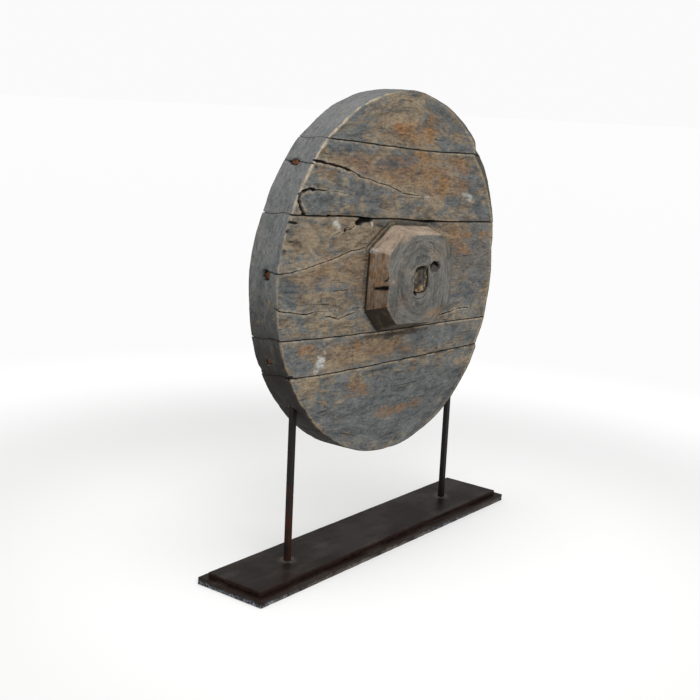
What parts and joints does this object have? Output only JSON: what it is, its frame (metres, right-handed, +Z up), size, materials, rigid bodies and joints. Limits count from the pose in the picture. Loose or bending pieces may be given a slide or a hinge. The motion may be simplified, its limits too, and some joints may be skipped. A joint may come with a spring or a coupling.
{
  "type": "solid plank wheel on stand",
  "caption": "Old solid wooden plank disc wheel with an octagonal hub, standing upright on a low stepped base held by slim square iron uprights.",
  "frame": {"origin": "centre of the base's underside, which is also the bottom centre of the whole object's box", "axes": "+X along the base, to the right of someone facing the wheel's front; the front faces -Y; +Z up"},
  "size_m": [0.812, 0.168, 0.895],
  "materials": {
    "plank_wood": "weathered grey, stained brown",
    "hub_wood": "weathered, worn pale on top",
    "axle_wood": "rough broken end grain",
    "dowel_wood": "dry, unfinished",
    "rusty_iron": "rusted",
    "black_iron": "dark, lightly rusted",
    "base_finish": "dark satin stain, chipped edges",
    "screw_steel": "plain"
  },
  "bodies": {
    "stand": {"base_lower_board": "base_finish", "base_upper_board": "base_finish", "upright_left": "black_iron", "upright_right": "black_iron", "upright_screw_left": "screw_steel", "upright_screw_right": "screw_steel", "board_screw_front_1": "screw_steel", "board_screw_front_2": "screw_steel", "board_screw_front_3": "screw_steel", "board_screw_front_4": "screw_steel", "board_screw_rear_1": "screw_steel", "board_screw_rear_2": "screw_steel", "board_screw_rear_3": "screw_steel", "board_screw_rear_4": "screw_steel"},
    "wheel": {"top_segment": "plank_wood", "upper_plank": "plank_wood", "centre_plank": "plank_wood", "lower_plank": "plank_wood", "bottom_segment": "plank_wood", "hub_block": "hub_wood", "rear_collar": "hub_wood", "axle_stub": "axle_wood", "tenon_wedge_left": "axle_wood", "tenon_wedge_right": "axle_wood", "dowel_a_left": "dowel_wood", "dowel_a_right": "dowel_wood", "dowel_b_left": "dowel_wood", "dowel_b_right": "dowel_wood", "dowel_c_left": "dowel_wood", "dowel_c_right": "dowel_wood", "dowel_d_left": "dowel_wood", "dowel_d_right": "dowel_wood", "rim_pin_upper_left": "rusty_iron", "rim_pin_middle_left": "rusty_iron", "rim_pin_lower_left": "rusty_iron", "rim_pin_upper_right": "rusty_iron", "rim_pin_middle_right": "rusty_iron", "rim_pin_lower_right": "rusty_iron"}
  },
  "joints": [
    {"name": "wheel_lift", "type": "slide", "parent": "stand", "child": "wheel", "axis": [0, 0, 1], "range_m": [0, 0.18]}
  ]
}
